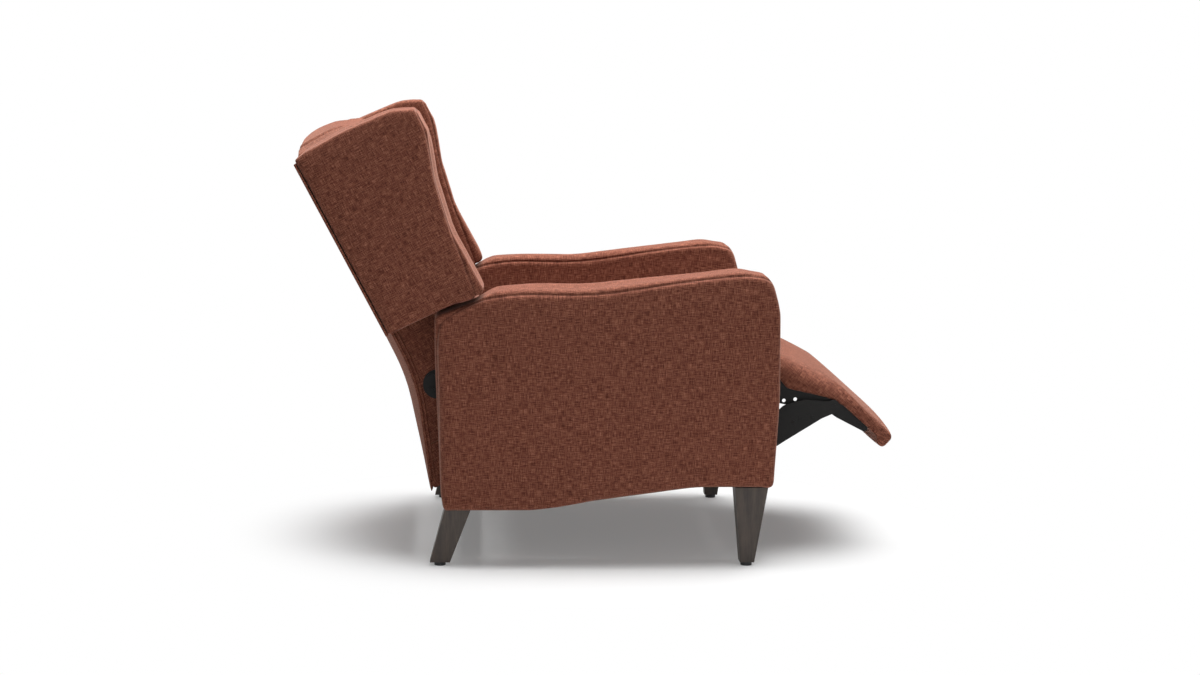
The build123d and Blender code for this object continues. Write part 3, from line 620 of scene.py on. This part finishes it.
def rounded(loop):
    loop = np.array(loop, dtype=float)
    for _ in range(CORNER_CUTS):
        following = np.roll(loop, -1, axis=0)
        cuts = [0.75 * loop + 0.25 * following, 0.25 * loop + 0.75 * following]
        loop = np.stack(cuts, axis=1).reshape(-1, 2)
    return loop


def beyond(spots, loop):
    nearest = np.full(len(spots), np.inf)
    inside = np.zeros(len(spots), dtype=bool)
    for start, end in zip(loop, np.roll(loop, -1, axis=0)):
        run = end - start
        share = np.clip(((spots - start) @ run) / (run @ run), 0, 1)
        nearest = np.minimum(nearest, np.linalg.norm(spots - (start + share[:, None] * run), axis=1))
        level = (start[1] > spots[:, 1]) != (end[1] > spots[:, 1])
        along = start[0] + (spots[:, 1] - start[1]) / (run[1] or TINY) * run[0]
        inside ^= level & (spots[:, 0] < along)
    return np.where(inside, -nearest, nearest) / METRE


# %% Points as seen from the side, on the floor's and on the back's axes


def on_floor(piece):
    spots = corners_of(piece) * METRE
    return np.stack([spots[:, 0] - CENTRE_SHIFT, spots[:, 2]], axis=1)


def on_back(piece):
    x, z = (on_floor(piece) - np.array(BACK_ORIGIN)).T
    up = -x * math.sin(BACK_TILT) + z * math.cos(BACK_TILT)
    ahead = x * math.cos(BACK_TILT) + z * math.sin(BACK_TILT)
    return np.stack([up, ahead], axis=1)


# %% Press a seam in
ROLL_HEIGHT = 0.35
ROLL_AWAY = 2.6
ROLL_WIDTH = 1.4


def sew(piece, across, depth=0.0022, width=0.0045):
    near = np.abs(across)
    roll = ROLL_HEIGHT * depth * np.exp(-(((near - ROLL_AWAY * width) / (ROLL_WIDTH * width)) ** 2))
    dip = depth * np.exp(-((near / width) ** 2)) - roll
    move_to(piece, corners_of(piece) - normals_of(piece) * dip[:, None])
    marks = piece.data.attributes.new(SEAM, "FLOAT", "POINT")
    marks.data.foreach_set("value", (1.0 + across).astype(np.float32))


# %% [markdown]
# ## Laying the weave
# Cloth is cut flat, so its threads run straight over a face. An unwrap would find a flat layout by
# itself, but at any angle. Here each face is laid along the piece's own axes, on the two that
# it faces least, and the weave of the back leans as the back does.

# %% Lay the weave


def lay_weave(piece, tilt=0.0):
    mesh = piece.data
    layer = mesh.uv_layers.new(name=WEAVE)
    spots = corners_of(piece)
    ahead = np.array([math.cos(tilt), 0, math.sin(tilt)])
    above = np.array([-math.sin(tilt), 0, math.cos(tilt)])
    local = np.stack([spots @ ahead, spots[:, 1], spots @ above], axis=1)
    ways = np.empty(len(mesh.polygons) * 3, dtype=np.float32)
    mesh.polygons.foreach_get("normal", ways)
    ways = ways.reshape(-1, 3)
    ways = np.abs(np.stack([ways @ ahead, ways[:, 1], ways @ above], axis=1))
    facing = np.argmax(ways, axis=1)
    counts = np.empty(len(mesh.polygons), dtype=np.int32)
    mesh.polygons.foreach_get("loop_total", counts)
    facing = np.repeat(facing, counts)
    owner = np.empty(len(mesh.loops), dtype=np.int32)
    mesh.loops.foreach_get("vertex_index", owner)
    pairs = np.array([(1, 2), (0, 2), (0, 1)])[facing]
    laid = np.take_along_axis(local[owner], pairs, axis=1)
    layer.data.foreach_set("uv", laid.astype(np.float32).ravel())


# %% Dress a piece


def dress(piece, body, nodes, tilt=0.0):
    lay_weave(piece, tilt)
    piece.data.materials.append(CLOTH)
    pick(piece)
    bpy.ops.object.shade_smooth()
    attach(piece, body)
    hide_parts(*nodes)


# %% Mirror a piece


def other_side(piece, name):
    twin = piece.copy()
    twin.data = piece.data.copy()
    twin.name = name
    bpy.context.collection.objects.link(twin)
    move_to(twin, corners_of(twin) * np.array([1, -1, 1]))
    pick(twin)
    bpy.ops.object.mode_set(mode="EDIT")
    bpy.ops.mesh.select_all(action="SELECT")
    bpy.ops.mesh.flip_normals()
    bpy.ops.object.mode_set(mode="OBJECT")
    return twin


# %% [markdown]
# ## Arms
# An arm is one long padded board with a wavy top. A flat cloth covers each side, and a band runs
# over the top and down the front between them, so two seams follow the outline. The seam on
# the outside is read from the picture; the one inside is its twin. Both arms could be stuffed,
# but the left one is a mirrored copy, which saves a simulation and keeps them alike.

# %% Arm pads with their band
ARM_INNER_FACE = 0.2835
ARM_UNDERSIDE = 0.135
UNDER_WING_FRONT = floor_spot(-215, 0, 0).x
UNDER_WING_LOW = 0.5
ARM_SEAM = rounded([
    (-321, 0), (-321, 360), (-326, 505), (-300, 531), (-238, 566), (-172, 576), (-131, 578), (-70, 576),
    (-9, 576), (52, 582), (134, 595), (215, 607), (300, 616), (340, 614), (368, 602), (379, 584),
    (385, 546), (387, 484), (388, 360), (384, 255), (378, 190), (372, 0),
])


def arm_held(spots):
    under_wing = (spots[:, 0] < UNDER_WING_FRONT) & (spots[:, 2] > UNDER_WING_LOW)
    return (np.abs(spots[:, 1]) < ARM_INNER_FACE) | (spots[:, 2] < ARM_UNDERSIDE) | under_wing


arm_right = stuff("arm_right", ["arm_pad_right", "arm_core_right"], net=0.0065, cap=0.004, held=arm_held)
sew(arm_right, beyond(on_floor(arm_right), ARM_SEAM), depth=0.0014, width=0.004)
arm_left = other_side(arm_right, "arm_left")
dress(arm_right, "base", ["arm_pad_right"])
dress(arm_left, "base", ["arm_pad_left"])

# %% [markdown]
# ## Wings
# The wings are stiff padded boards at both sides of the head. Their outer cloth meets a band
# that folds over the front edge; the band widens toward the bottom, where it rolls onto the arm.
# They are made as the arms are, with a finer net and less swelling, because the board is thin.

# %% Wing pads
WING_INNER_FACE = 0.283
WING_SEAM = rounded([
    (-90, -60), (460, -60), (440, 300), (376, 271), (352, 271), (329, 270), (291, 259), (240, 242),
    (196, 233), (143, 223), (119, 219), (90, 216), (54, 212), (4, 206), (-30, 202), (-90, 198),
])


def wing_held(spots):
    return np.abs(spots[:, 1]) < WING_INNER_FACE


wing_right = stuff(
    "wing_right", ["wing_pad_right", "wing_core_right"], net=0.0055, cap=0.0025, held=wing_held
)
sew(wing_right, beyond(on_back(wing_right), WING_SEAM), depth=0.0015, width=0.0035)
wing_left = other_side(wing_right, "wing_left")
dress(wing_right, "back", ["wing_pad_right"], BACK_TILT)
dress(wing_left, "back", ["wing_pad_left"], BACK_TILT)

# %% [markdown]
# ## Seat and back cushions
# The pads that carry the sitter are softer than the arms, so they may swell more. Each one
# starts a little small, is held where it lies on its frame, and swells back to its full size.
# The seat's nose is held too, because it folds against the footrest when the chair is closed.
# One seam runs round the seat at an even height, and two run down the back beside its borders.

# %% Seat cushion
SEAT_UNDERSIDE = 0.345
SEAT_SIDES = 0.272
SEAT_NOSE = 0.3
NOSE_TOP = 0.458
NOSE_SIDES = 0.238
SEAT_SEAM_HEIGHT = 0.456


def seat_held(spots):
    sides = np.abs(spots[:, 1])
    nose = (spots[:, 0] > SEAT_NOSE) & ((spots[:, 2] < NOSE_TOP) | (sides > NOSE_SIDES))
    return nose | (spots[:, 2] < SEAT_UNDERSIDE) | (sides > SEAT_SIDES)


seat_pad = stuff("seat_pad", ["seat_cushion"], net=0.007, cap=0.010, held=seat_held, inset=0.004)
sew(seat_pad, corners_of(seat_pad)[:, 2] - SEAT_SEAM_HEIGHT)
dress(seat_pad, "seat", ["seat_cushion"])

# %% Back cushion
BACK_SIDES = 0.268
BACK_BORDER = 0.216


def back_held(spots):
    return np.abs(spots[:, 1]) > BACK_SIDES


back_pad = stuff("back_pad", ["back_cushion"], net=0.007, cap=0.008, held=back_held, inset=0.004)
sew(back_pad, np.abs(corners_of(back_pad)[:, 1]) - BACK_BORDER, depth=0.005, width=0.007)
dress(back_pad, "back", ["back_cushion"], BACK_TILT)

# %% [markdown]
# ## Footrest pad
# The footrest is a board with a pad over it, thick at its head and thin at its toe. The solid has
# a pocket at each side, where its bracket enters. Cloth would sink into them, so two thin
# fillings close the pockets before the net is laid, and the sides come out smooth. The head is
# held, because the seat's nose lies against it when the chair is closed.

# %% Fillings for the pockets
FILLING_INNER = 248
FILLING_OUTER = 257
FOOT_FILLING = [
    (6, -16), (30, -12), (60, -3), (100, 8), (130, 16), (160, 26), (190, 36), (290, 38), (318, 22), (304, 4),
    (284, 20), (190, 20), (150, 9), (75, -34), (28, -25),
]


def foot_filling(side):
    net = bmesh.new()
    inner = [net.verts.new(foot_spot(w, side * FILLING_INNER, n)) for w, n in FOOT_FILLING]
    outer = [net.verts.new(foot_spot(w, side * FILLING_OUTER, n)) for w, n in FOOT_FILLING]
    net.faces.new(inner)
    net.faces.new(reversed(outer))
    for index in range(len(inner)):
        net.faces.new([inner[index], inner[index - 1], outer[index - 1], outer[index]])
    bmesh.ops.recalc_face_normals(net, faces=net.faces)
    mesh = bpy.data.meshes.new("foot_filling")
    net.to_mesh(mesh)
    net.free()
    return mesh


# %% Footrest pad
FOOT_SIDES = 0.2565
FOOT_HEAD = 0.43


def foot_held(spots):
    return (np.abs(spots[:, 1]) > FOOT_SIDES) | (spots[:, 2] > FOOT_HEAD)


foot_pad = stuff(
    "foot_pad", ["footrest_pad", "footrest_board"], net=0.006, cap=0.004, held=foot_held, inset=0.001,
    filling=[foot_filling(side) for side in (-1, 1)],
)
dress(foot_pad, "footrest", ["footrest_pad"], -FOOT_SLOPE)

# %% [markdown]
# ## Outside back
# The outside back is cloth pulled over a bowed panel, and two narrow cloth sides close the back
# below the wings. They lie flat and hard on their frame, so they need no stuffing: a copy of each
# solid gets softly rounded edges, and its weave leans with the back.

# %% Copy of a solid with soft edges
CREASE = math.radians(35)


def softened(name, node, body, width):
    piece = bare_copy(name, [node])
    finish_modifier(piece, "BEVEL", width=width, segments=3, limit_method="ANGLE", angle_limit=CREASE)
    bpy.ops.object.shade_smooth_by_angle(angle=CREASE)
    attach(piece, body)
    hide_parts(node)
    return piece


# %% Outer back panel and side covers
COVER_EDGE = 0.0014
COVERS = {
    "outside_back": "outer_back_panel",
    "back_side_right": "back_side_cover_right",
    "back_side_left": "back_side_cover_left",
}
for name, node in COVERS.items():
    cover = softened(name, node, "back", COVER_EDGE)
    lay_weave(cover, BACK_TILT)
    cover.data.materials.append(CLOTH)
    print(name, "faces:", len(cover.data.polygons))

# %% [markdown]
# ## Welts on the sides of the back
# Two thin folds of cloth run side by side down each side of the back, where the outside back is
# sewn to the narrow side. They follow the bend of the back, so their line is worked out from
# its radius, and a round bevel on a curve makes each fold.

# %% Line down the side of the back
SIDE_TOP = -10.0
BEND_START = -58.0
BEND_STEPS = 10
LOWER_BEND = math.radians(20.0)
LOWER_RADIUS = 400.0
WELT_END = -336.0


def down_the_back(v):
    radius = LOWER_RADIUS - v
    turns = [LOWER_BEND * step / BEND_STEPS for step in range(BEND_STEPS + 1)]
    bend = [(BEND_START - radius * math.sin(turn), v - radius * (1 - math.cos(turn))) for turn in turns]
    low = (WELT_END, bend[-1][1] - (bend[-1][0] - WELT_END) * math.tan(LOWER_BEND))
    return [(SIDE_TOP, v), *bend, low]


# %% Round tube along a line


def tube(name, spots, radius):
    curve = bpy.data.curves.new(name, "CURVE")
    curve.dimensions = "3D"
    curve.bevel_depth = radius
    curve.bevel_resolution = 3
    curve.use_fill_caps = True
    line = curve.splines.new("NURBS")
    line.points.add(len(spots) - 1)
    for point, spot in zip(line.points, spots):
        point.co = (*spot, 1.0)
    line.order_u = 3
    line.use_endpoint_u = True
    piece = bpy.data.objects.new(name, curve)
    bpy.context.collection.objects.link(piece)
    pick(piece)
    bpy.ops.object.convert(target="MESH")
    bpy.ops.object.shade_smooth()
    return bpy.context.object


# %% Two welts on each side
BACK_SIDE = 252.0
WELT_RADIUS = 0.0019
WELT_PLACES = {"rear": 5.0, "front": 13.0}
for side, y in (("right", -BACK_SIDE), ("left", BACK_SIDE)):
    for place, v in WELT_PLACES.items():
        spots = [back_spot(u, y, ahead) for u, ahead in down_the_back(v)]
        welt = tube(f"welt_{place}_{side}", spots, WELT_RADIUS)
        lay_weave(welt, BACK_TILT)
        welt.data.materials.append(CLOTH)
        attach(welt, "back")

# %% [markdown]
# ## Legs
# The legs are sawn from solid wood and sanded, so their edges are eased by about two
# millimetres. A copy of each solid gets a small bevel, which catches a thin line of light.

# %% Eased legs
LEG_EDGE = 0.0018
LEGS = ("front_leg_left", "front_leg_right", "rear_leg_left", "rear_leg_right")
for node in LEGS:
    leg = softened(node + "_eased", node, "base", LEG_EDGE)
    leg.data.materials.append(LEG_STAIN)
print("eased legs:", len(LEGS))

# %% [markdown]
# ## Rivets on the push links
# Three small flat rivets sit near the upper edge of each push link. A short cylinder with a wide
# bevel on its rim gives a pressed rivet head. Its other half lies inside the link.

# %% Rivet heads
LINK_FACE = 265.0
RIVET_HEAD = 1.0
RIVET_RADIUS = 0.0036
RIVET_SIDES = 28
RIVET_RIM = 0.0007
RIVET_CREASE = math.radians(40)
RIVETS = ((430, 292), (443, 299), (470, 303))
for side, y in (("right", -LINK_FACE), ("left", LINK_FACE)):
    for number, (x, z) in enumerate(RIVETS, 1):
        bpy.ops.object.select_all(action="DESELECT")
        bpy.ops.mesh.primitive_cylinder_add(
            vertices=RIVET_SIDES, radius=RIVET_RADIUS, depth=2 * RIVET_HEAD / METRE
        )
        rivet = bpy.context.object
        rivet.name = f"link_rivet_{side}_{number}"
        bpy.ops.object.mode_set(mode="EDIT")
        bpy.ops.mesh.select_all(action="SELECT")
        bpy.ops.transform.rotate(value=math.pi / 2, orient_axis="X", center_override=(0, 0, 0))
        bpy.ops.transform.translate(value=floor_spot(x, y, z))
        bpy.ops.object.mode_set(mode="OBJECT")
        finish_modifier(rivet, "BEVEL", width=RIVET_RIM, segments=3, limit_method="ANGLE")
        bpy.ops.object.shade_smooth_by_angle(angle=RIVET_CREASE)
        rivet.data.materials.append(BLACK_STEEL)
        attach(rivet, "push_link")
print("rivets:", 2 * len(RIVETS))

# %% [markdown]
# ## Finishes for the frame
# Every solid that still shows gets the finish of its own material. The record of the frame names
# a material slot for each node, so one table from slot to finish serves them all.

# %% Finish each node by its slot
SLOT_FINISH = {
    "upholstery": CLOTH,
    "stained_leg": LEG_STAIN,
    "glide": GLIDE,
    "webbing": WEBBING,
    "frame_wood": PLY_DARKENED_AS_SHADE,
    "roller": NYLON,
    "spring_wire": SPRING_STEEL,
    "zinc_steel": ZINC,
    "black_steel": BLACK_STEEL,
}
for part in frame["record"]["subparts"]:
    shown = frame["nodes"][part["node"]].data.materials
    shown.clear()
    shown.append(SLOT_FINISH[part["material_slot"]])
